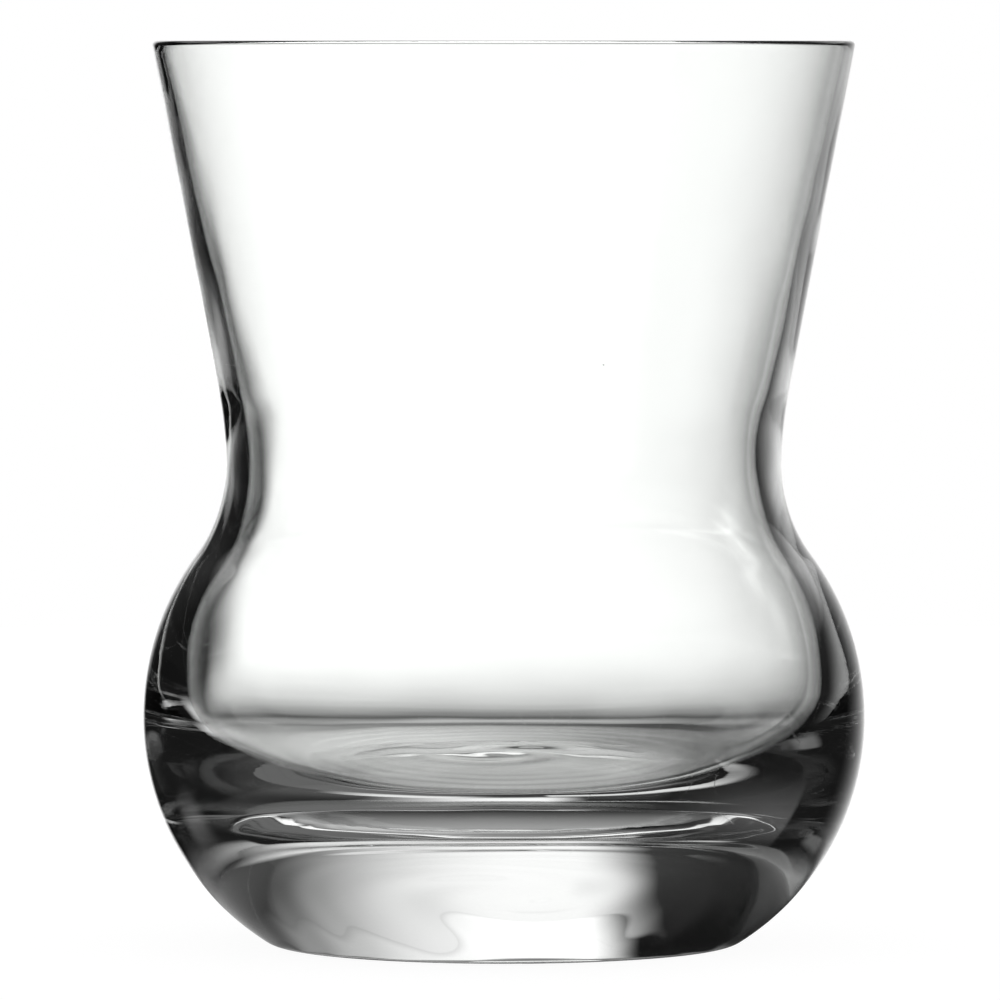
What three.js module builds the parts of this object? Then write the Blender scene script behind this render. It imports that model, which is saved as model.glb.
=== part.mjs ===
// Whisky glass blown from one gather of clear glass: a heavy solid base inside a round belly,
// a narrow waist and a flared mouth with a rounded rim.
// Millimetres, +Z up, origin at the centre of the foot, on the surface that the glass stands on.
import * as THREE from "three";

// Outside
const HEIGHT = 100;
const RIM_DIAMETER = 77.6;
const WAIST_DIAMETER = 61.6;
const WAIST_HEIGHT = 53;
const WAIST_UPPER_RADIUS = 44.6;
const WAIST_LOWER_RADIUS = 16.6;
const BELLY_DIAMETER = 80;
const BELLY_HEIGHT = 25.2;
const FOOT_DIAMETER = 49.6;
const FOOT_EDGE_RADIUS = 3.2;

// Underside: a shallow hollow, so that the glass stands on a ring
const HOLLOW_DIAMETER = 42;
const HOLLOW_DEPTH = 0.85;

// Inside
const RIM_WALL = 0.95;
const WAIST_WALL = 2.6;
const BELLY_WALL = 4.6;
const BASE_THICKNESS = 14.4;
const BOWL_RISE = 14;
const BOWL_FLOOR_RADIUS = 250;
const BOWL_SHOULDER_RADIUS = 22;
const MOUTH_RADIUS = 32;

// Fineness of the facets
const SEGMENTS_AROUND = 64;
const CURVE_SAG = 0.05;

// Look of the glass
const GLASS_COLOUR = 0xeef1f0;
const GLASS_ROUGHNESS = 0.03;
const GLASS_OPACITY = 0.35;

const UP = Math.PI / 2;
const INWARD = Math.PI;
const DOWN = -Math.PI / 2;

function circle(radius, centreRadius, centreHeight) {
  return { radius, centre: new THREE.Vector2(centreRadius, centreHeight) };
}

function directionTo(from, to) {
  return to.clone().sub(from).angle();
}

// Points along one arc of a circle, close enough together that no chord leaves the arc by more than CURVE_SAG.
function arcPoints(round, startAngle, endAngle) {
  const largestStep = 2 * Math.acos(1 - Math.min(CURVE_SAG / round.radius, 1));
  const steps = Math.max(1, Math.ceil(Math.abs(endAngle - startAngle) / largestStep));
  const clockwise = endAngle < startAngle;
  const arc = new THREE.ArcCurve(round.centre.x, round.centre.y, round.radius, startAngle, endAngle, clockwise);
  return arc.getPoints(steps);
}

// A bulge that stands upright at its widest place runs into a waist that stands upright at its narrowest.
// The two arcs touch where they meet; the waist's radius is given and the bulge takes the rest.
function bulgeIntoWaist(bulgeRadius, bulgeHeight, waistRadius, waistHeight, waistArcRadius) {
  const drawnIn = bulgeRadius - waistRadius;
  const rise = waistHeight - bulgeHeight;
  const bothRadii = (drawnIn ** 2 + rise ** 2) / (2 * drawnIn);
  const bulgeArcRadius = bothRadii - waistArcRadius;
  const bulge = circle(bulgeArcRadius, bulgeRadius - bulgeArcRadius, bulgeHeight);
  const waist = circle(waistArcRadius, waistRadius + waistArcRadius, waistHeight);
  return { bulge, waist, turn: directionTo(bulge.centre, waist.centre) };
}

// Direction square to the straight wall that touches the waist's circle and the rim's circle.
// rimSide is +1 where the wall passes outside the rim's circle and -1 where it passes inside.
function wallNormal(waist, rim, rimSide) {
  const span = waist.centre.clone().sub(rim.centre);
  return span.angle() - 2 * Math.PI + Math.acos((waist.radius + rimSide * rim.radius) / span.length());
}

// The half section: from the axis under the foot, up the outside, over the rim and down to the axis in the bowl.
function glassSection() {
  const rimRound = circle(RIM_WALL / 2, (RIM_DIAMETER - RIM_WALL) / 2, HEIGHT - RIM_WALL / 2);

  // Underside and foot
  const hollowRadius = (HOLLOW_DIAMETER ** 2 / 4 + HOLLOW_DEPTH ** 2) / (2 * HOLLOW_DEPTH);
  const hollow = circle(hollowRadius, 0, HOLLOW_DEPTH - hollowRadius);
  const hollowEdge = UP - Math.asin(HOLLOW_DIAMETER / 2 / hollowRadius);

  // Lower belly: one arc from the rounded edge of the foot to the belly's widest place
  const overhang = (BELLY_DIAMETER - FOOT_DIAMETER) / 2;
  const lowerRadius = (overhang ** 2 + BELLY_HEIGHT ** 2 - 2 * BELLY_HEIGHT * FOOT_EDGE_RADIUS)
    / (2 * (overhang - FOOT_EDGE_RADIUS));
  const lowerBelly = circle(lowerRadius, BELLY_DIAMETER / 2 - lowerRadius, BELLY_HEIGHT);
  const footEdge = circle(FOOT_EDGE_RADIUS, FOOT_DIAMETER / 2, FOOT_EDGE_RADIUS);
  const footTurn = directionTo(lowerBelly.centre, footEdge.centre) - 2 * Math.PI;

  // Upper belly, waist and flared wall, outside
  const outside = bulgeIntoWaist(
    BELLY_DIAMETER / 2, BELLY_HEIGHT, WAIST_DIAMETER / 2, WAIST_HEIGHT, WAIST_LOWER_RADIUS);
  const outerFlare = circle(WAIST_UPPER_RADIUS, WAIST_DIAMETER / 2 + WAIST_UPPER_RADIUS, WAIST_HEIGHT);
  const outerNormal = wallNormal(outerFlare, rimRound, 1);

  // Flared wall, waist and bowl, inside
  const innerWaist = WAIST_DIAMETER / 2 - WAIST_WALL;
  const innerFlare = circle(MOUTH_RADIUS, innerWaist + MOUTH_RADIUS, WAIST_HEIGHT);
  const innerNormal = wallNormal(innerFlare, rimRound, -1);
  const bowlRadius = BELLY_DIAMETER / 2 - BELLY_WALL;
  const bowlHeight = BASE_THICKNESS + BOWL_RISE;
  const inside = bulgeIntoWaist(bowlRadius, bowlHeight, innerWaist, WAIST_HEIGHT, BOWL_SHOULDER_RADIUS);

  // Bowl's rounded corner and its gently dished floor
  const cornerRadius = (2 * BOWL_RISE * BOWL_FLOOR_RADIUS - bowlRadius ** 2 - BOWL_RISE ** 2)
    / (2 * (BOWL_FLOOR_RADIUS - bowlRadius));
  const corner = circle(cornerRadius, bowlRadius - cornerRadius, bowlHeight);
  const bowlFloor = circle(BOWL_FLOOR_RADIUS, 0, BASE_THICKNESS + BOWL_FLOOR_RADIUS);
  const floorTurn = directionTo(bowlFloor.centre, corner.centre) - 2 * Math.PI;

  return [
    arcPoints(hollow, UP, hollowEdge),
    arcPoints(footEdge, DOWN, footTurn),
    arcPoints(lowerBelly, footTurn, 0),
    arcPoints(outside.bulge, 0, outside.turn),
    arcPoints(outside.waist, INWARD + outside.turn, INWARD),
    arcPoints(outerFlare, INWARD, INWARD + outerNormal),
    arcPoints(rimRound, outerNormal, UP),
    arcPoints(rimRound, UP, INWARD + innerNormal),
    arcPoints(innerFlare, INWARD + innerNormal, INWARD),
    arcPoints(inside.waist, INWARD, INWARD + inside.turn),
    arcPoints(inside.bulge, inside.turn, 0),
    arcPoints(corner, 0, floorTurn),
    arcPoints(bowlFloor, floorTurn, DOWN),
  ];
}

// Joins the arcs into one outline: a point shared by two arcs is kept once, and both ends lie on the axis.
function joinedOutline(arcs) {
  const samePlace = 1e-6;
  const outline = [];
  for (const point of arcs.flat()) {
    const last = outline.at(-1);
    if (!last || last.distanceTo(point) > samePlace) {
      outline.push(point);
    }
  }
  outline.at(0).x = 0;
  outline.at(-1).x = 0;
  return outline;
}

function glassBody() {
  const outline = joinedOutline(glassSection());
  const shape = new THREE.LatheGeometry(outline, SEGMENTS_AROUND);
  const clearGlass = new THREE.MeshStandardMaterial({
    color: GLASS_COLOUR,
    roughness: GLASS_ROUGHNESS,
    metalness: 0,
    transparent: true,
    opacity: GLASS_OPACITY,
  });
  const body = new THREE.Mesh(shape, clearGlass);
  body.name = "glass_body";
  return body;
}

const whiskyGlass = new THREE.Group();
whiskyGlass.rotation.x = UP;
whiskyGlass.add(glassBody());

export default whiskyGlass;
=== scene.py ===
# %% [markdown]
# # A clear whisky glass
# The glass is one piece, blown from a single gather: a heavy solid base inside a round belly, a narrow
# waist and a flared mouth. Glass has no colour of its own to paint. What the eye sees is the room, bent by
# the outer and the inner wall. So three things make the picture: the exact section of both walls, the small
# waves that hand work leaves in them, and a studio with a bright backdrop and dark sides. This lesson makes
# them in that order.

# %% Load the frame
import math

import bpy
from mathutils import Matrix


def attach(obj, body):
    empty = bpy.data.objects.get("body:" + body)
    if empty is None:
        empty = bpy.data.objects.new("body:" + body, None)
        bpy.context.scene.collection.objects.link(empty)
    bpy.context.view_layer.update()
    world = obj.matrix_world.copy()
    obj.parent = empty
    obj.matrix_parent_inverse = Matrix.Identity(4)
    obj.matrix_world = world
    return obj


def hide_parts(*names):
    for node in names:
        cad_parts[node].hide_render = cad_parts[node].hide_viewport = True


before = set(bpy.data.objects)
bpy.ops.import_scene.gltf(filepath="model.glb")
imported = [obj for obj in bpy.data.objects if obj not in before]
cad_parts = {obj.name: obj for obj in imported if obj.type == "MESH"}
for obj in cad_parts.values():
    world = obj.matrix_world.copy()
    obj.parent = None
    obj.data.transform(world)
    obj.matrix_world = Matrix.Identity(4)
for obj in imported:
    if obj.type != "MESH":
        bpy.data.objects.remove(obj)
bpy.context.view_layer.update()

# %% [markdown]
# ## The half section
# A blown glass that is turned while it is hot ends up round, so its shape is one half section swept about
# the axis. The section could be drawn as a smooth curve through many points, but the real one is simpler:
# each stretch is part of a circle, or a straight wall that touches two, and runs on smoothly into the next.
# Only the flat standing ring meets the hollow under the foot at a slight corner. Twenty sizes are enough.

# %% Sizes of the glass, in metres
MM = 0.001

HEIGHT = 100 * MM
RIM_DIAMETER = 77.6 * MM
WAIST_DIAMETER = 61.6 * MM
WAIST_HEIGHT = 53 * MM
WAIST_UPPER_RADIUS = 44.6 * MM
WAIST_LOWER_RADIUS = 16.6 * MM
BELLY_DIAMETER = 80 * MM
BELLY_HEIGHT = 25.2 * MM
FOOT_DIAMETER = 49.6 * MM
FOOT_EDGE_RADIUS = 3.2 * MM
HOLLOW_DIAMETER = 42 * MM
HOLLOW_DEPTH = 0.85 * MM

RIM_WALL = 0.95 * MM
WAIST_WALL = 2.6 * MM
MOUTH_RADIUS = 32 * MM
BELLY_WALL = 4.6 * MM
BASE_THICKNESS = 14.4 * MM
BOWL_RISE = 14 * MM
BOWL_FLOOR_RADIUS = 250 * MM
BOWL_SHOULDER_RADIUS = 22 * MM
print("waist to belly:", round(WAIST_DIAMETER / BELLY_DIAMETER, 2), "of its width")

# %% [markdown]
# ## Arcs that touch
# A circle is kept as its centre and radius. Where two arcs meet, they share a tangent, and the meeting place
# lies on the line through both centres. That gives every angle from the sizes above, with nothing to adjust
# by eye. A Bezier curve with handles would come close, but its sizes couldn't be read off.

# %% Points along an arc
LONGEST_STEP = 0.75 * MM
LARGEST_TURN = math.radians(5)
UP = math.pi / 2
DOWN = -math.pi / 2
INWARD = math.pi


def direction_to(start, end):
    """Angle of the line from one place to another."""
    return math.atan2(end[1] - start[1], end[0] - start[0])


def arc(centre, radius, start, end, longest=LONGEST_STEP):
    """Points along part of a circle, close enough together for a smooth surface."""
    turn = end - start
    steps = max(1, math.ceil(abs(turn) / LARGEST_TURN), math.ceil(abs(turn) * radius / longest))
    angles = [start + turn * i / steps for i in range(steps + 1)]
    return [(centre[0] + radius * math.cos(a), centre[1] + radius * math.sin(a)) for a in angles]


print("points on a quarter of the foot's edge:", len(arc((0.0, 0.0), FOOT_EDGE_RADIUS, DOWN, 0.0)))


# %% Arcs that run into each other, and a wall that touches two circles
def bulge_into_waist(bulge, waist, waist_arc_radius):
    """An upright bulge runs into an upright waist: both centres, the bulge's radius, the meeting angle."""
    drawn_in = bulge[0] - waist[0]
    rise = waist[1] - bulge[1]
    both_radii = (drawn_in ** 2 + rise ** 2) / (2 * drawn_in)
    bulge_arc_radius = both_radii - waist_arc_radius
    bulge_centre = (bulge[0] - bulge_arc_radius, bulge[1])
    waist_centre = (waist[0] + waist_arc_radius, waist[1])
    return bulge_centre, waist_centre, bulge_arc_radius, direction_to(bulge_centre, waist_centre)


def wall_normal(waist_centre, waist_radius, rim_centre, rim_radius):
    """Direction square to the straight wall that touches the waist's circle and the rim's circle."""
    span = math.dist(waist_centre, rim_centre)
    return direction_to(rim_centre, waist_centre) + math.acos((waist_radius + rim_radius) / span)


# %% Outside, from the hollow under the foot to the top of the rim
rim_radius = RIM_WALL / 2
rim_centre = (RIM_DIAMETER / 2 - rim_radius, HEIGHT - rim_radius)

hollow_radius = (HOLLOW_DIAMETER ** 2 / 4 + HOLLOW_DEPTH ** 2) / (2 * HOLLOW_DEPTH)
hollow_edge = UP - math.asin(HOLLOW_DIAMETER / 2 / hollow_radius)

overhang = (BELLY_DIAMETER - FOOT_DIAMETER) / 2
lower_radius = overhang ** 2 + BELLY_HEIGHT ** 2 - 2 * BELLY_HEIGHT * FOOT_EDGE_RADIUS
lower_radius = lower_radius / (2 * (overhang - FOOT_EDGE_RADIUS))
lower_centre = (BELLY_DIAMETER / 2 - lower_radius, BELLY_HEIGHT)
foot_centre = (FOOT_DIAMETER / 2, FOOT_EDGE_RADIUS)
foot_turn = direction_to(lower_centre, foot_centre)

belly = (BELLY_DIAMETER / 2, BELLY_HEIGHT)
waist = (WAIST_DIAMETER / 2, WAIST_HEIGHT)
bulge_centre, waist_centre, bulge_radius, bulge_turn = bulge_into_waist(belly, waist, WAIST_LOWER_RADIUS)
flare_centre = (WAIST_DIAMETER / 2 + WAIST_UPPER_RADIUS, WAIST_HEIGHT)
outer_normal = wall_normal(flare_centre, WAIST_UPPER_RADIUS, rim_centre, rim_radius)

OUTSIDE_ARCS = [
    arc((0.0, HOLLOW_DEPTH - hollow_radius), hollow_radius, UP, hollow_edge),
    arc(foot_centre, FOOT_EDGE_RADIUS, DOWN, foot_turn),
    arc(lower_centre, lower_radius, foot_turn, 0.0),
    arc(bulge_centre, bulge_radius, 0.0, bulge_turn),
    arc(waist_centre, WAIST_LOWER_RADIUS, INWARD + bulge_turn, INWARD),
    arc(flare_centre, WAIST_UPPER_RADIUS, INWARD, INWARD + outer_normal),
    arc(rim_centre, rim_radius, outer_normal, UP),
]
print("lower belly, radius in mm:", round(lower_radius / MM, 2))

# %% Inside, from the top of the rim to the middle of the bowl's floor
FLOOR_STEP = 0.3 * MM

throat = (WAIST_DIAMETER / 2 - WAIST_WALL, WAIST_HEIGHT)
mouth_centre = (throat[0] + MOUTH_RADIUS, WAIST_HEIGHT)
inner_normal = wall_normal(mouth_centre, MOUTH_RADIUS, rim_centre, -rim_radius)

bowl = (BELLY_DIAMETER / 2 - BELLY_WALL, BASE_THICKNESS + BOWL_RISE)
bowl_centre, shoulder_centre, bowl_radius, bowl_turn = bulge_into_waist(bowl, throat, BOWL_SHOULDER_RADIUS)
corner_radius = 2 * BOWL_RISE * BOWL_FLOOR_RADIUS - bowl[0] ** 2 - BOWL_RISE ** 2
corner_radius = corner_radius / (2 * (BOWL_FLOOR_RADIUS - bowl[0]))
corner_centre = (bowl[0] - corner_radius, bowl[1])
floor_centre = (0.0, BASE_THICKNESS + BOWL_FLOOR_RADIUS)
floor_turn = direction_to(floor_centre, corner_centre)

INSIDE_ARCS = [
    arc(rim_centre, rim_radius, UP, INWARD + inner_normal),
    arc(mouth_centre, MOUTH_RADIUS, INWARD + inner_normal, INWARD),
    arc(shoulder_centre, BOWL_SHOULDER_RADIUS, INWARD, INWARD + bowl_turn),
    arc(bowl_centre, bowl_radius, bowl_turn, 0.0),
    arc(corner_centre, corner_radius, 0.0, floor_turn),
    arc(floor_centre, BOWL_FLOOR_RADIUS, floor_turn, DOWN, FLOOR_STEP),
]
print("corner of the bowl, radius in mm:", round(corner_radius / MM, 2))

# %% Join the arcs into one line of points
SAME_PLACE = 1e-9


def joined(arcs):
    """One line of points: shared ends once, and straight stretches cut into steps as well."""
    line = []
    for point in (p for one_arc in arcs for p in one_arc):
        if not line:
            line.append(point)
            continue
        gap = math.dist(line[-1], point)
        steps = math.ceil(gap / LONGEST_STEP)
        last = line[-1]
        for i in range(1, steps + 1):
            if gap > SAME_PLACE:
                line.append(tuple(a + (b - a) * i / steps for a, b in zip(last, point)))
    return line


outside_line = joined(OUTSIDE_ARCS)
inside_line = joined(INSIDE_ARCS)
section = outside_line + inside_line[1:]
section[0] = (0.0, section[0][1])
section[-1] = (0.0, section[-1][1])
print("points in the half section:", len(section))

# %% [markdown]
# ## Where the glass is uneven
# Nothing but air shaped the inside of a blown glass, so its wall waves slowly, by less than a tenth of a
# millimetre. The hollow under the foot waves up to twice as much. The rim is calm, as it was melted smooth.
# Such waves could be sculpted by hand on the finished mesh. Here each point of the section carries two
# numbers instead, how much it may wave and how far it belongs to the bowl's floor, and the tree that turns
# the section reads them. The outside stays true, so the glass keeps its measured outline.

# %% How much each place of the section may wave
UNDERSIDE_WAVES = 2.0
CALM_NEAR_RIM = 20 * MM
FLOOR_MARK_RISE = 4 * MM
FLOOR_MARK_FADE = 2 * MM

wave_share = []
floor_share = []
for index, (radius, height) in enumerate(section):
    is_inside = index >= len(outside_line)
    is_hollow = not is_inside and radius < HOLLOW_DIAMETER / 2
    from_edge = 1 - (2 * radius / HOLLOW_DIAMETER) ** 2
    from_rim = min(1.0, (HEIGHT - height) / CALM_NEAR_RIM)
    above_marks = (BASE_THICKNESS + FLOOR_MARK_RISE - height) / FLOOR_MARK_FADE
    wave_share.append(from_rim if is_inside else UNDERSIDE_WAVES * from_edge * is_hollow)
    floor_share.append(max(0.0, min(1.0, above_marks)) if is_inside else 0.0)
print("points on the bowl's floor:", sum(share > 0 for share in floor_share))

# %% [markdown]
# ## Turning the section with Geometry Nodes
# A Screw modifier would turn the section too. Geometry Nodes does it with a circle as the path and the
# section as the profile, and then, in the same tree, it can move the points of the inner wall a little. The
# profile is swept at the circle's own radius, so the section is first shifted by that radius.

# %% One helper for nodes, in every tree of this lesson
def add_node(tree, kind, inputs=None, **settings):
    """Adds a node, sets it up and fills its inputs; an input is a plain value, a socket or another node."""
    new = tree.nodes.new(kind)
    for name, value in settings.items():
        setattr(new, name, value)
    for name, value in (inputs or {}).items():
        if isinstance(value, bpy.types.Node):
            value = value.outputs[0]
        if isinstance(value, bpy.types.NodeSocket):
            tree.links.new(value, new.inputs[name])
        else:
            new.inputs[name].default_value = value
    return new


# %% Section as a mesh of edges, shifted so that the path's circle carries it
PATH_RADIUS = 50 * MM
section_mesh = bpy.data.meshes.new("glass_section")
section_points = [(radius - PATH_RADIUS, -height, 0.0) for radius, height in section]
section_edges = [(i, i + 1) for i in range(len(section) - 1)]
section_mesh.from_pydata(section_points, section_edges, [])
for attribute_name, values in (("waves", wave_share), ("bowl_floor", floor_share)):
    layer = section_mesh.attributes.new(attribute_name, "FLOAT", "POINT")
    layer.data.foreach_set("value", values)
turned_glass = bpy.data.objects.new("turned_glass", section_mesh)
bpy.context.scene.collection.objects.link(turned_glass)
print("edges in the half section:", len(section_edges))

# %% Tree that turns the section, with its inputs
turning = bpy.data.node_groups.new("turn_the_section", "GeometryNodeTree")
turning.is_modifier = True
TURNING_INPUTS = {
    "Segments around": ("NodeSocketInt", 232),
    "Path radius": ("NodeSocketFloat", PATH_RADIUS),
    "Wave height": ("NodeSocketFloat", 0.16 * MM),
    "Wave length": ("NodeSocketFloat", 14 * MM),
    "Swirl height": ("NodeSocketFloat", 0.34 * MM),
    "Swirl radius": ("NodeSocketFloat", 6.5 * MM),
    "Ripple height": ("NodeSocketFloat", 0.02 * MM),
    "Ripple length": ("NodeSocketFloat", 3 * MM),
    "Material": ("NodeSocketMaterial", None),
}
turning.interface.new_socket("Section", in_out="INPUT", socket_type="NodeSocketGeometry")
turning.interface.new_socket("Glass", in_out="OUTPUT", socket_type="NodeSocketGeometry")
sockets = {}
for socket_name, (socket_type, _) in TURNING_INPUTS.items():
    sockets[socket_name] = turning.interface.new_socket(
        socket_name, in_out="INPUT", socket_type=socket_type)
print("inputs of the turning tree:", list(sockets))

# %% Sweep the section round the axis and close it at both poles
WELD_DISTANCE = 0.001 * MM

given = add_node(turning, "NodeGroupInput").outputs
profile = add_node(turning, "GeometryNodeMeshToCurve", {"Mesh": given["Section"]})
path = add_node(
    turning, "GeometryNodeCurvePrimitiveCircle",
    {"Resolution": given["Segments around"], "Radius": given["Path radius"]})
swept = add_node(turning, "GeometryNodeCurveToMesh", {"Curve": path, "Profile Curve": profile})
facing_out = add_node(turning, "GeometryNodeFlipFaces", {"Mesh": swept})
closed = add_node(
    turning, "GeometryNodeMergeByDistance", {"Geometry": facing_out, "Distance": WELD_DISTANCE})
print("nodes that sweep the section:", len(turning.nodes))

# %% Slow waves along the normal
NOISE_MIDDLE = 0.5

place = add_node(turning, "GeometryNodeInputPosition")
wave_part = add_node(turning, "GeometryNodeInputNamedAttribute", {"Name": "waves"}, data_type="FLOAT")
finer = add_node(turning, "ShaderNodeMath", {0: 1.0, 1: given["Wave length"]}, operation="DIVIDE")
waves = add_node(
    turning, "ShaderNodeTexNoise", {"Vector": place, "Scale": finer, "Detail": 1.0}, noise_dimensions="3D")
level_waves = add_node(turning, "ShaderNodeMath", {0: waves, 1: NOISE_MIDDLE}, operation="SUBTRACT")
high_waves = add_node(
    turning, "ShaderNodeMath", {0: level_waves, 1: given["Wave height"]}, operation="MULTIPLY")
part_waves = add_node(turning, "ShaderNodeMath", {0: high_waves, 1: wave_part}, operation="MULTIPLY")
outward = add_node(turning, "GeometryNodeInputNormal")
moved = add_node(
    turning, "ShaderNodeVectorMath", {"Vector": outward, "Scale": part_waves}, operation="SCALE")
waved = add_node(
    turning, "GeometryNodeSetPosition", {"Geometry": closed, "Offset": moved.outputs["Vector"]})
print("nodes with the slow waves:", len(turning.nodes))

# %% [markdown]
# ## Marks on the bowl's floor
# The last twist of the hot glass stays in the bowl's floor as a swirl with two arms, and rings run out from
# it like ripples on water. They are a fraction of a millimetre high, but the floor mirrors the backdrop at a
# glancing angle, so they show clearly. A picture painted on the floor wouldn't bend the light, and a bump
# map only tilts the shading. So here the points really move up and down, by a formula of the distance and
# the direction from the swirl's middle.

# %% A bell-shaped share
def bell(tree, value, width):
    """1 where the value is 0, falling off smoothly on both sides."""
    share = add_node(tree, "ShaderNodeMath", {0: value, 1: width}, operation="DIVIDE")
    square = add_node(tree, "ShaderNodeMath", {0: share, 1: share}, operation="MULTIPLY")
    negative = add_node(tree, "ShaderNodeMath", {0: square, 1: -1.0}, operation="MULTIPLY")
    return add_node(tree, "ShaderNodeMath", {0: negative}, operation="EXPONENT")


# %% Swirl in the middle of the floor
SWIRL_CENTRE = (0.2 * MM, -1.0 * MM, 0.0)
SWIRL_ARMS = 2.0
ARM_SPACING = 9 * MM
SWIRL_TURN = 2 * math.pi / ARM_SPACING
LEVEL_ONLY = (1.0, 1.0, 0.0)

flat = add_node(turning, "ShaderNodeVectorMath", {0: place, 1: LEVEL_ONLY}, operation="MULTIPLY")
from_centre = add_node(turning, "ShaderNodeVectorMath", {0: flat, 1: SWIRL_CENTRE}, operation="SUBTRACT")
away = add_node(turning, "ShaderNodeVectorMath", {0: from_centre}, operation="LENGTH").outputs["Value"]
sides = add_node(turning, "ShaderNodeSeparateXYZ", {"Vector": from_centre}).outputs
round_angle = add_node(turning, "ShaderNodeMath", {0: sides["Y"], 1: sides["X"]}, operation="ARCTAN2")
arm_angle = add_node(turning, "ShaderNodeMath", {0: round_angle, 1: SWIRL_ARMS}, operation="MULTIPLY")
wound = add_node(
    turning, "ShaderNodeMath", {0: away, 1: SWIRL_TURN, 2: arm_angle}, operation="MULTIPLY_ADD")
arms = add_node(turning, "ShaderNodeMath", {0: wound}, operation="SINE")
near_centre = bell(turning, away, given["Swirl radius"])
share_out = add_node(turning, "ShaderNodeMath", {0: away, 1: given["Swirl radius"]}, operation="DIVIDE")
calm_centre = add_node(turning, "ShaderNodeMath", {0: share_out, 1: 2.0}, operation="POWER")
arm_height = add_node(turning, "ShaderNodeMath", {0: near_centre, 1: calm_centre}, operation="MULTIPLY")
arms_near = add_node(turning, "ShaderNodeMath", {0: arms, 1: arm_height}, operation="MULTIPLY")
swirl = add_node(turning, "ShaderNodeMath", {0: arms_near, 1: given["Swirl height"]}, operation="MULTIPLY")
print("nodes with the swirl:", len(turning.nodes))

# %% Ripples further out
RIPPLES_FROM = 12 * MM
RIPPLES_FULL = 18 * MM

ripple_turn = add_node(
    turning, "ShaderNodeMath", {0: 2 * math.pi, 1: given["Ripple length"]}, operation="DIVIDE")
ripple_angle = add_node(turning, "ShaderNodeMath", {0: away, 1: ripple_turn}, operation="MULTIPLY")
ripple = add_node(turning, "ShaderNodeMath", {0: ripple_angle}, operation="SINE")
further_out = add_node(
    turning, "ShaderNodeMapRange", {"Value": away, "From Min": RIPPLES_FROM, "From Max": RIPPLES_FULL})
ripple_out = add_node(turning, "ShaderNodeMath", {0: ripple, 1: further_out}, operation="MULTIPLY")
all_marks = add_node(
    turning, "ShaderNodeMath", {0: ripple_out, 1: given["Ripple height"], 2: swirl},
    operation="MULTIPLY_ADD")
floor_part = add_node(
    turning, "GeometryNodeInputNamedAttribute", {"Name": "bowl_floor"}, data_type="FLOAT")
floor_marks = add_node(turning, "ShaderNodeMath", {0: all_marks, 1: floor_part}, operation="MULTIPLY")
upward = add_node(turning, "ShaderNodeCombineXYZ", {"Z": floor_marks})
marked = add_node(turning, "GeometryNodeSetPosition", {"Geometry": waved, "Offset": upward})
print("nodes with the ripples:", len(turning.nodes))

# %% Finish the tree
smooth = add_node(turning, "GeometryNodeSetShadeSmooth", {"Geometry": marked})
real = add_node(turning, "GeometryNodeRealizeInstances", {"Geometry": smooth})
dressed = add_node(
    turning, "GeometryNodeSetMaterial", {"Geometry": real, "Material": given["Material"]})
add_node(turning, "NodeGroupOutput", {"Glass": dressed})
print("nodes in the turning tree:", len(turning.nodes))

# %% [markdown]
# ## Clear glass
# The material is soda-lime glass, fire-polished: no colour to speak of, an index of refraction of 1.52, and
# a surface so smooth that it mirrors. A flawless surface looks like a drawing. Four faint things give it
# away, and all are read from the place on the glass, so they stay where they are when the camera moves:
# - cords, long level ripples that turning leaves in the lower bowl, as a bump;
# - smudges from fingers and cloth, as a little roughness;
# - hairline scratches, as thin rough lines that come and go;
# - seeds, bubbles and grit smaller than a third of a millimetre, as grey dots.

# %% Colours, and an empty material
def linear(hex_colour):
    """An sRGB hex colour as the linear colour that nodes take."""
    channels = [int(hex_colour[i:i + 2], 16) / 255 for i in (1, 3, 5)]
    return [c / 12.92 if c <= 0.04045 else ((c + 0.055) / 1.055) ** 2.4 for c in channels] + [1.0]


clear_glass = bpy.data.materials.new("clear_soda_lime_glass")
clear_glass.use_nodes = True
glass_tree = clear_glass.node_tree
glass_tree.nodes.clear()
on_glass = add_node(glass_tree, "ShaderNodeTexCoord").outputs["Object"]
print("an sRGB mid grey in linear light:", round(linear("#808080")[0], 3))

# %% Cords round the lower bowl
CORD_LENGTH = 25 * MM
CORD_WIDTH = 1.3 * MM
CORD_HEIGHT = 0.004 * MM
CORD_MIDDLE = 26 * MM
CORD_REACH = 9 * MM
CORD_SCALE = (1 / CORD_LENGTH, 1 / CORD_LENGTH, 1 / CORD_WIDTH)

cord_place = add_node(
    glass_tree, "ShaderNodeVectorMath", {0: on_glass, 1: CORD_SCALE}, operation="MULTIPLY")
cords = add_node(glass_tree, "ShaderNodeTexNoise", {"Vector": cord_place, "Scale": 1.0, "Detail": 2.0})
height_up = add_node(glass_tree, "ShaderNodeSeparateXYZ", {"Vector": on_glass}).outputs["Z"]
from_middle = add_node(glass_tree, "ShaderNodeMath", {0: height_up, 1: CORD_MIDDLE}, operation="SUBTRACT")
cord_part = bell(glass_tree, from_middle, CORD_REACH)
cord_bump = add_node(
    glass_tree, "ShaderNodeBump", {"Strength": cord_part, "Distance": CORD_HEIGHT, "Height": cords})
print("cords, width in mm:", round(CORD_WIDTH / MM, 2))

# %% Smudges
SMUDGE_SIZE = 16 * MM
SMUDGE_ROUGHNESS = 0.03
SMUDGES_FROM = 0.6
SMUDGES_FULL = 0.8

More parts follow.
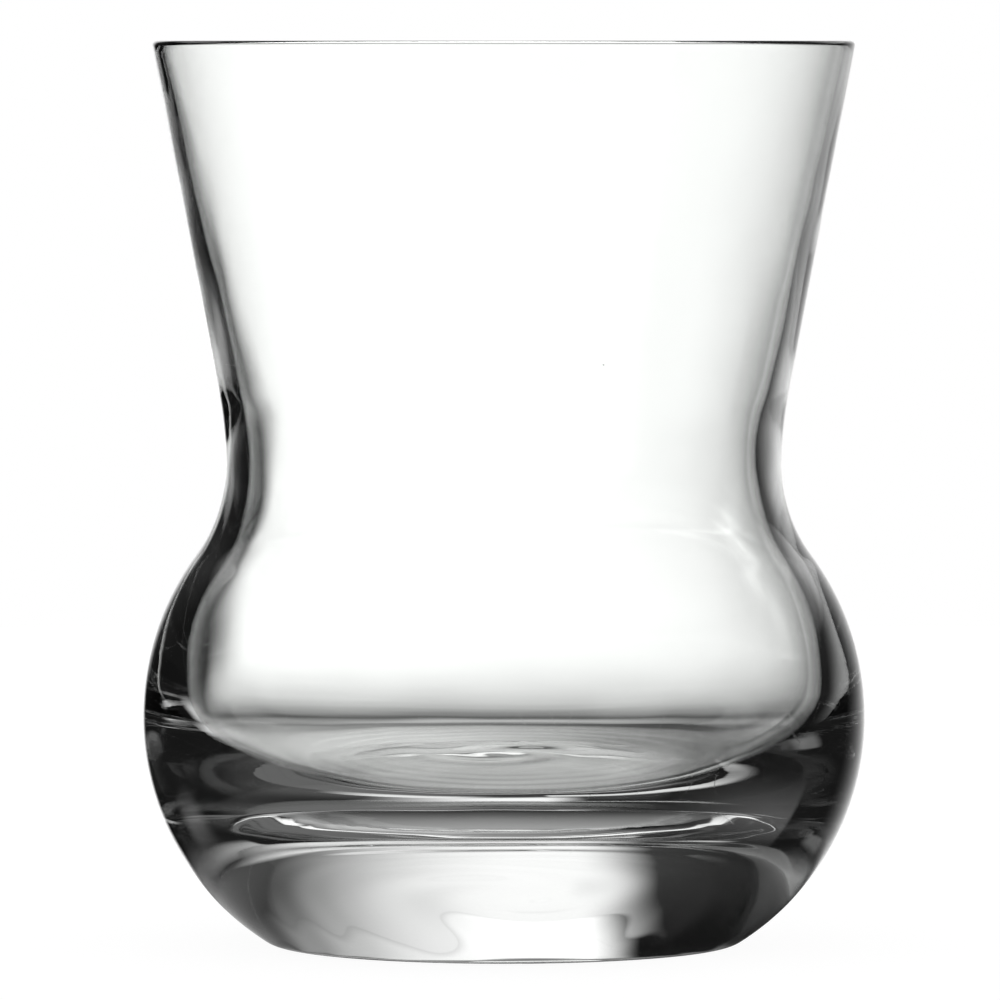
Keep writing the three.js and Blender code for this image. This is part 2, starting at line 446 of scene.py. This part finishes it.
smudges = add_node(
    glass_tree, "ShaderNodeTexNoise", {"Vector": on_glass, "Scale": 1 / SMUDGE_SIZE, "Detail": 4.0})
smudge_rough = add_node(glass_tree, "ShaderNodeMapRange", {
    "Value": smudges, "From Min": SMUDGES_FROM, "From Max": SMUDGES_FULL,
    "To Min": 0.0, "To Max": SMUDGE_ROUGHNESS})
print("smudges, size in mm:", round(SMUDGE_SIZE / MM))

# %% Hairline scratches, drawn wider than real ones, which would be too fine to show
SCRATCH_SPACING = 11 * MM
SCRATCH_WIDTH = 0.03 * MM
SCRATCH_ROUGHNESS = 0.12
SCRATCHES_FROM = 0.55

cracks = add_node(
    glass_tree, "ShaderNodeTexVoronoi", {"Vector": on_glass, "Scale": 1 / SCRATCH_SPACING},
    feature="DISTANCE_TO_EDGE")
on_scratch = add_node(
    glass_tree, "ShaderNodeMath", {0: cracks, 1: SCRATCH_WIDTH / SCRATCH_SPACING}, operation="LESS_THAN")
here_and_there = add_node(
    glass_tree, "ShaderNodeMath", {0: smudges, 1: SCRATCHES_FROM}, operation="GREATER_THAN")
short_scratch = add_node(
    glass_tree, "ShaderNodeMath", {0: on_scratch, 1: here_and_there}, operation="MULTIPLY")
roughness = add_node(
    glass_tree, "ShaderNodeMath", {0: short_scratch, 1: SCRATCH_ROUGHNESS, 2: smudge_rough},
    operation="MULTIPLY_ADD")
print("scratches, spacing in mm:", round(SCRATCH_SPACING / MM))

# %% Seeds
SEED_SPACING = 12 * MM
SEED_RADIUS = 0.12 * MM
GLASS_COLOUR = "#FEFFFE"
SEED_COLOUR = "#9A9D9B"

seeds = add_node(
    glass_tree, "ShaderNodeTexVoronoi", {"Vector": on_glass, "Scale": 1 / SEED_SPACING}, feature="F1")
is_seed = add_node(
    glass_tree, "ShaderNodeMath", {0: seeds.outputs["Distance"], 1: SEED_RADIUS / SEED_SPACING},
    operation="LESS_THAN")
tint = add_node(
    glass_tree, "ShaderNodeMix", {"Factor": is_seed, "A": linear(GLASS_COLOUR), "B": linear(SEED_COLOUR)},
    data_type="RGBA")
print("seeds, width in mm:", round(2 * SEED_RADIUS / MM, 2))

# %% The glass itself
GLASS_IOR = 1.52

glass_shader = add_node(glass_tree, "ShaderNodeBsdfPrincipled", {
    "Base Color": tint.outputs["Result"],
    "IOR": GLASS_IOR,
    "Roughness": roughness,
    "Transmission Weight": 1.0,
    "Normal": cord_bump,
})
add_node(glass_tree, "ShaderNodeOutputMaterial", {"Surface": glass_shader})
print("nodes in the glass:", len(glass_tree.nodes))

# %% [markdown]
# ## From the tree to a plain mesh
# The tree now has everything it needs, so its inputs are filled in and it runs once. The result is kept as a
# plain mesh, because a piece that others reuse shouldn't hang on a live modifier. The volume tells whether
# the faces point outwards: inside out, it would be negative.

# %% Turn the glass and make it a plain mesh
modifier = turned_glass.modifiers.new("turn", "NODES")
modifier.node_group = turning
for socket_name, (_, value) in TURNING_INPUTS.items():
    if value is None:
        value = clear_glass
    modifier[sockets[socket_name].identifier] = value
bpy.context.view_layer.update()
evaluated = turned_glass.evaluated_get(bpy.context.evaluated_depsgraph_get())
glass_mesh = bpy.data.meshes.new_from_object(evaluated)
glass_mesh.name = "whisky_glass"
bpy.data.objects.remove(turned_glass)
whisky_glass = bpy.data.objects.new("whisky_glass", glass_mesh)
bpy.context.scene.collection.objects.link(whisky_glass)
print("points in the glass:", len(glass_mesh.vertices))

# %% Measure the finished mesh
CUBIC_CM = 1e-6
glass_mesh.calc_loop_triangles()
volume = 0.0
for triangle in glass_mesh.loop_triangles:
    a, b, c = [glass_mesh.vertices[i].co for i in triangle.vertices]
    volume += a.dot(b.cross(c)) / 6
print("triangles:", len(glass_mesh.loop_triangles), "glass in cubic cm:", round(volume / CUBIC_CM, 2))
print("materials:", [m.name for m in glass_mesh.materials])

# %% Seat the glass on the frame
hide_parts("glass_body")
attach(whisky_glass, "root")
print("seated on the frame:", whisky_glass.name)

# %% [markdown]
# ## The studio
# Clear glass shows the room behind and beside it, not itself. A bright backdrop straight behind makes its
# middle white, and dark sides make its edges black, because the edges bend the view sideways. Lamps and
# white boards could stand round the glass. Here the surroundings are painted on the world as soft-edged
# panels, by turn and tilt in degrees: turn 0 is straight behind the glass and tilt 0 is level. A panel's
# level is its brightness, and its four edges say where it is still dark, fully bright, still fully bright
# and dark again. Many of these numbers weren't chosen by hand: a separate fitting program traced light
# through the section and moved the panels until the traced picture came close to the photo. Only what the
# glass sees is painted so. The camera itself, and the light on the floor, take plain white.

# %% Soft panels by direction
def soft_panels(tree, across, along, panels):
    """The brightest of some soft-edged panels, over two angles or an angle and a distance, as a node."""
    total = None
    for level, across_edges, along_edges in panels.values():
        shape = level
        for value, edges in ((across, across_edges), (along, along_edges)):
            dark_low, full_low, full_high, dark_high = edges
            for dark, full in ((dark_low, full_low), (dark_high, full_high)):
                edge = add_node(
                    tree, "ShaderNodeMapRange", {"Value": value, "From Min": dark, "From Max": full},
                    interpolation_type="SMOOTHSTEP")
                shape = add_node(tree, "ShaderNodeMath", {0: edge, 1: shape}, operation="MULTIPLY")
        total = shape if total is None else add_node(
            tree, "ShaderNodeMath", {0: total, 1: shape}, operation="MAXIMUM")
    return total


# %% Panels of the studio: level, edges by turn and edges by tilt
ALL_ROUND = (-181, -180, 180, 181)
STUDIO_PANELS = {
    "backdrop, lower part": (1.367, (-17.1, -9.0, -9.0, 41.7), (-35.3, -8.8, -2.9, 3.8)),
    "backdrop, upper part": (1.06, (-21, -8, -2, 39), (-2, -0.5, 10, 25)),
    "table behind the glass": (3.36, (-69.1, -45.0, 10.8, 14.8), (-80.6, -60.4, -40.2, -28.7)),
    "ceiling": (0.62, ALL_ROUND, (47, 80, 89, 91)),
    "left top light": (0.78, (-80, -49, -12, -10), (18, 26, 33, 36)),
    "right top light": (0.88, (-3, 14, 26, 53), (11, 13, 20, 34)),
    "table, left": (0.349, (-180, -130, -90, -60), (-67.1, -54.1, -22.0, -20.3)),
    "table, right": (2.153, (59.7, 63.1, 68.9, 136.5), (-68.4, -54.2, -37.9, -12.8)),
    "right wall": (0.067, (-53.6, -2.8, 54.8, 92.7), (-8.2, 11.6, 11.6, 82.3)),
    "high right wall": (0.133, (-11.6, 21.2, 128.3, 181.2), (19.5, 21.0, 59.0, 69.0)),
    "window, left behind": (0.7, (-57, -47, -43, -33), (-37, -27, -23, -13)),
    "window, right front": (0.8, (117, 130, 140, 153), (-32, -21, -9, 2)),
    "window, left": (0.15, (-101, -93, -87, -79), (-14, -8, -3, 0)),
}
DARK_STUDIO = 0.008
print("panels in the studio:", len(STUDIO_PANELS))

# %% Turn and tilt of each direction
world = bpy.data.worlds.new("studio")
bpy.context.scene.world = world
world.use_nodes = True
sky = world.node_tree
sky.nodes.clear()
looking = add_node(sky, "ShaderNodeTexCoord").outputs["Generated"]
looking_xyz = add_node(sky, "ShaderNodeSeparateXYZ", {"Vector": looking}).outputs
turn_angle = add_node(
    sky, "ShaderNodeMath", {0: looking_xyz["X"], 1: looking_xyz["Y"]}, operation="ARCTAN2")
tilt_angle = add_node(sky, "ShaderNodeMath", {0: looking_xyz["Z"]}, operation="ARCSINE")
azimuth = add_node(sky, "ShaderNodeMath", {0: turn_angle}, operation="DEGREES")
elevation = add_node(sky, "ShaderNodeMath", {0: tilt_angle}, operation="DEGREES")
print("nodes for turn and tilt:", len(sky.nodes))

# %% The world: panels for the glass, white for the camera
WHITE_BACKDROP = 1.0

panels_level = soft_panels(sky, azimuth, elevation, STUDIO_PANELS)
studio_level = add_node(sky, "ShaderNodeMath", {0: panels_level, 1: DARK_STUDIO}, operation="MAXIMUM")
sky_ray = add_node(sky, "ShaderNodeLightPath").outputs
through_glass = add_node(
    sky, "ShaderNodeMath", {0: sky_ray["Is Transmission Ray"], 1: sky_ray["Is Glossy Ray"]},
    operation="MAXIMUM")
seen_level = add_node(
    sky, "ShaderNodeMix", {"Factor": through_glass, "A": WHITE_BACKDROP, "B": studio_level},
    data_type="FLOAT")
backdrop = add_node(sky, "ShaderNodeBackground", {"Color": linear("#FFFFFF"), "Strength": seen_level})
add_node(sky, "ShaderNodeOutputWorld", {"Surface": backdrop})
print("nodes in the studio:", len(sky.nodes))

# %% [markdown]
# ## The floor
# The glass stands on a pale floor that is as white as the backdrop, with no more than a breath of shadow. A
# plain white sheet under a lamp would do, but a heavy base shows what lies right under and behind it, so the
# floor also glows in two soft panels that only the glass sees, by turn in degrees and distance in
# millimetres: a painted shadow under the foot and dimmer painted light behind it. Further out the floor lets
# the glass look through to the studio's own panels.

# %% Floor disc
FLOOR_RADIUS = 600 * MM
FLOOR_CORNERS = 96
FLOOR_DROP = 0.02 * MM

floor_mesh = bpy.data.meshes.new("floor")
floor_angles = [2 * math.pi * i / FLOOR_CORNERS for i in range(FLOOR_CORNERS)]
floor_corners = [
    (FLOOR_RADIUS * math.cos(a), FLOOR_RADIUS * math.sin(a), -FLOOR_DROP) for a in floor_angles]
floor_mesh.from_pydata(floor_corners, [], [list(range(FLOOR_CORNERS))])
studio_floor = bpy.data.objects.new("studio_floor", floor_mesh)
bpy.context.scene.collection.objects.link(studio_floor)
print("floor, radius in mm:", round(FLOOR_RADIUS / MM))

# %% What the glass sees of the floor: painted light and painted shadow
# Painted shadow under the foot and dimmer painted light behind it, as floor glow that only the glass sees
PAINTED_FLOOR_PANELS = {
    "under the foot": (0.38, ALL_ROUND, (-2, -1, 14, 28)),
    "light behind the foot": (0.594, (-138.6, -64.4, -23.8, 49.3), (6, 22, 26, 64)),
}
FLOOR_FADES_FROM = 48.0
FLOOR_GONE_FROM = 64.0

pale_floor = bpy.data.materials.new("pale_floor")
pale_floor.use_nodes = True
ground = pale_floor.node_tree
ground.nodes.clear()
spot = add_node(ground, "ShaderNodeNewGeometry").outputs["Position"]
spot_xyz = add_node(ground, "ShaderNodeSeparateXYZ", {"Vector": spot}).outputs
spot_turn = add_node(ground, "ShaderNodeMath", {0: spot_xyz["X"], 1: spot_xyz["Y"]}, operation="ARCTAN2")
spot_azimuth = add_node(ground, "ShaderNodeMath", {0: spot_turn}, operation="DEGREES")
spot_distance = add_node(ground, "ShaderNodeVectorMath", {0: spot}, operation="LENGTH").outputs["Value"]
spot_mm = add_node(ground, "ShaderNodeMath", {0: spot_distance, 1: 1 / MM}, operation="MULTIPLY")
painted_floor_level = soft_panels(ground, spot_azimuth, spot_mm, PAINTED_FLOOR_PANELS)
# The floor glows at the panels' level for the glass: painted light, and painted shadow where the level is
# low
painted_floor_light = add_node(ground, "ShaderNodeEmission", {"Strength": painted_floor_level})
far_away = add_node(ground, "ShaderNodeBsdfTransparent")
is_far = add_node(
    ground, "ShaderNodeMapRange",
    {"Value": spot_mm, "From Min": FLOOR_FADES_FROM, "From Max": FLOOR_GONE_FROM})
glass_sees = add_node(ground, "ShaderNodeMixShader", {0: is_far, 1: painted_floor_light, 2: far_away})
print("panels on the floor:", len(PAINTED_FLOOR_PANELS))

# %% What the camera sees of the floor
SHADOW_SHARE = 0.08
WHITE_FLOOR = 1.03
PAPER_COLOUR = "#F4F4F4"

white_light = add_node(ground, "ShaderNodeEmission", {"Strength": WHITE_FLOOR})
white_paper = add_node(ground, "ShaderNodeBsdfDiffuse", {"Color": linear(PAPER_COLOUR)})
camera_sees = add_node(ground, "ShaderNodeMixShader", {0: SHADOW_SHARE, 1: white_light, 2: white_paper})
floor_ray = add_node(ground, "ShaderNodeLightPath").outputs
camera_or_paper = add_node(
    ground, "ShaderNodeMixShader", {0: floor_ray["Is Camera Ray"], 1: white_paper, 2: camera_sees})
through = add_node(
    ground, "ShaderNodeMath", {0: floor_ray["Is Transmission Ray"], 1: floor_ray["Is Glossy Ray"]},
    operation="MAXIMUM")
floor_look = add_node(ground, "ShaderNodeMixShader", {0: through, 1: camera_or_paper, 2: glass_sees})
add_node(ground, "ShaderNodeOutputMaterial", {"Surface": floor_look})
floor_mesh.materials.append(pale_floor)
print("nodes in the floor:", len(ground.nodes))

# %% [markdown]
# ## The camera
# The rim shows as one flat line and the foot's front edge as an arc. So the camera stands level with the
# rim, a little over a metre away, and looks slightly down. From higher up, the mouth would open to an
# ellipse. The lens follows from the distance and from how much width the picture takes in.

# %% Camera
CAMERA_DISTANCE = 1.1
CAMERA_HEIGHT = 100 * MM
AIM_HEIGHT = 49.2 * MM
AIM_SIDE = -0.4 * MM
FRAME_WIDTH = 110.6 * MM
SENSOR_WIDTH = 36.0
FARTHEST_SEEN = 100.0

camera_data = bpy.data.cameras.new("camera")
camera_data.sensor_width = SENSOR_WIDTH
camera_data.lens = SENSOR_WIDTH * CAMERA_DISTANCE / FRAME_WIDTH
camera_data.clip_end = FARTHEST_SEEN
camera = bpy.data.objects.new("camera", camera_data)
bpy.context.scene.collection.objects.link(camera)
camera.location = (AIM_SIDE, -CAMERA_DISTANCE, CAMERA_HEIGHT)
looking_down = math.atan2(CAMERA_HEIGHT - AIM_HEIGHT, CAMERA_DISTANCE)
camera.rotation_euler = (UP - looking_down, 0.0, 0.0)
bpy.context.scene.camera = camera
print("lens in mm:", round(camera_data.lens, 1), "looking down by:", round(math.degrees(looking_down), 2))

# %% Picture: light may be bent and mirrored many times inside a heavy base
GLASS_BOUNCES = 48
OTHER_BOUNCES = 24

bpy.context.scene.view_settings.view_transform = "Standard"
bpy.context.scene.cycles.max_bounces = GLASS_BOUNCES
bpy.context.scene.cycles.transmission_bounces = GLASS_BOUNCES
bpy.context.scene.cycles.glossy_bounces = OTHER_BOUNCES
bpy.context.scene.cycles.transparent_max_bounces = OTHER_BOUNCES
print("bounces through glass:", GLASS_BOUNCES)
